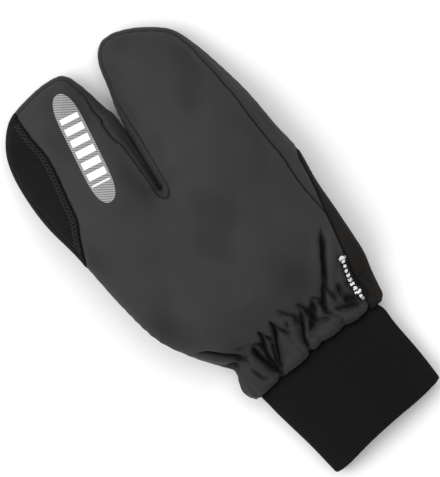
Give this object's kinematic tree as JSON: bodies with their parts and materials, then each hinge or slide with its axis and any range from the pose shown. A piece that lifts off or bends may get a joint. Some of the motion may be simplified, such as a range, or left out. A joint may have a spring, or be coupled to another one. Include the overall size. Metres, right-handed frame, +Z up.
{
  "type": "lobster claw mitt",
  "caption": "Padded right-hand mitt with a two-finger lobe on each side of a gap, suede palm and index patch, gathered wrist and ribbed knit cuff",
  "frame": {"origin": "under the middle of the mitt's box, on the surface that it lies on", "axes": "+Y to the fingertips, +X to the little finger side, +Z up from the surface, through the palm to the back of the hand"},
  "size_m": [0.1468, 0.2886, 0.0453],
  "materials": {
    "shell": "dark grey brushed woven shell cloth, matt with a faint sheen",
    "suede": "black synthetic suede with a short nap",
    "knit": "black ribbed knit",
    "label": "black woven tape with plain white dashes"
  },
  "bodies": {
    "root": {"back_panel": "shell", "side_strip": "shell", "index_patch": "suede", "palm_panel": "suede", "thumb_front": "suede", "thumb_back": "shell", "rib_cuff": "knit", "side_tag": "label"}
  },
  "joints": []
}
